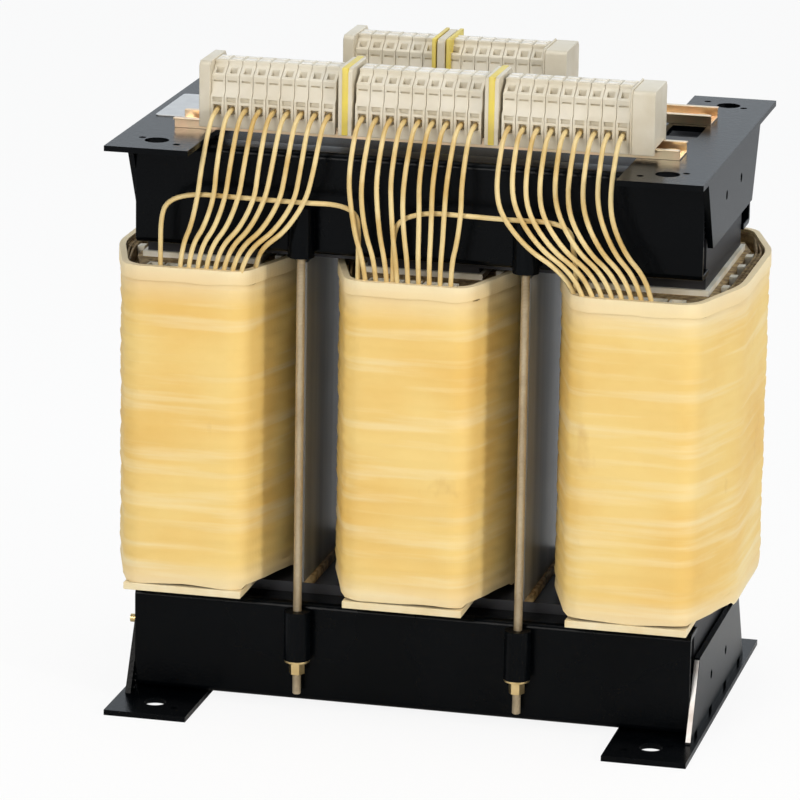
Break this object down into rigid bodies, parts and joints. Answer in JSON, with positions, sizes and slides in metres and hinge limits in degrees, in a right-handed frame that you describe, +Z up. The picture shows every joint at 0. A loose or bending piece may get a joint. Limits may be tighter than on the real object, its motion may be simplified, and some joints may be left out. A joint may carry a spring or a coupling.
{
  "type": "dry type transformer",
  "caption": "Dry power transformer: laminated core with taped coils in a black steel clamp frame on feet, with rail-mounted terminals on top.",
  "frame": {"origin": "centre of the four foot holes, on the surface that the feet stand on", "axes": "+Z up, +X along the row of coils, -Y towards the long terminal strip"},
  "size_m": [0.452, 0.292, 0.465],
  "materials": {
    "core_steel": "dark varnished lamination edges",
    "coil_tape": "varnished woven tape, warm yellow",
    "winding_paper": "braided tan insulation",
    "insulating_board": "off-white insulating board",
    "barrier_sheet": "dark grey glossy insulating sheet",
    "frame_black": "satin black paint",
    "passivated_steel": "yellow passivated steel",
    "rail_steel": "yellow-pink passivated strip",
    "terminal_beige": "beige moulded plastic",
    "marker_yellow": "yellow moulded plastic",
    "lead_sleeve": "cream to ochre sleeved wire",
    "bare_aluminium": "blank satin aluminium"
  },
  "bodies": {
    "root": {"barrier_foot_left": "winding_paper", "barrier_foot_right": "winding_paper", "coil_tube_left": "insulating_board", "coil_tube_middle": "insulating_board", "coil_tube_right": "insulating_board", "core_leg_left": "core_steel", "core_leg_middle": "core_steel", "core_leg_right": "core_steel", "duct_spacers_left": "insulating_board", "duct_spacers_middle": "insulating_board", "duct_spacers_right": "insulating_board", "earth_bolt": "passivated_steel", "end_plates": "terminal_beige", "end_stops": "terminal_beige", "foot_left": "frame_black", "foot_right": "frame_black", "front_leads_left": "lead_sleeve", "front_leads_middle": "lead_sleeve", "front_leads_right": "lead_sleeve", "front_rail": "rail_steel", "front_terminals_left": "terminal_beige", "front_terminals_middle": "terminal_beige", "front_terminals_right": "terminal_beige", "inner_winding_left": "winding_paper", "inner_winding_middle": "winding_paper", "inner_winding_right": "winding_paper", "link_lead_left": "lead_sleeve", "link_lead_right": "lead_sleeve", "lower_clamp_front": "frame_black", "lower_clamp_rear": "frame_black", "lower_end_board_left": "insulating_board", "lower_end_board_middle": "insulating_board", "lower_end_board_right": "insulating_board", "lower_yoke": "core_steel", "outer_winding_left": "coil_tape", "outer_winding_middle": "coil_tape", "outer_winding_right": "coil_tape", "phase_barrier_left": "barrier_sheet", "phase_barrier_right": "barrier_sheet", "rail_screws": "passivated_steel", "rating_plate": "bare_aluminium", "rear_leads_left": "lead_sleeve", "rear_leads_middle": "lead_sleeve", "rear_leads_right": "lead_sleeve", "rear_rail": "rail_steel", "rear_terminals_left": "terminal_beige", "rear_terminals_right": "terminal_beige", "rod_sleeves": "frame_black", "separators": "marker_yellow", "tie_rod_1": "passivated_steel", "tie_rod_2": "passivated_steel", "tie_rod_3": "passivated_steel", "tie_rod_4": "passivated_steel", "tie_rod_nuts": "passivated_steel", "tie_rod_washers": "passivated_steel", "top_bracket_left": "frame_black", "top_bracket_right": "frame_black", "upper_clamp_front": "frame_black", "upper_clamp_rear": "frame_black", "upper_yoke": "core_steel"}
  },
  "joints": []
}
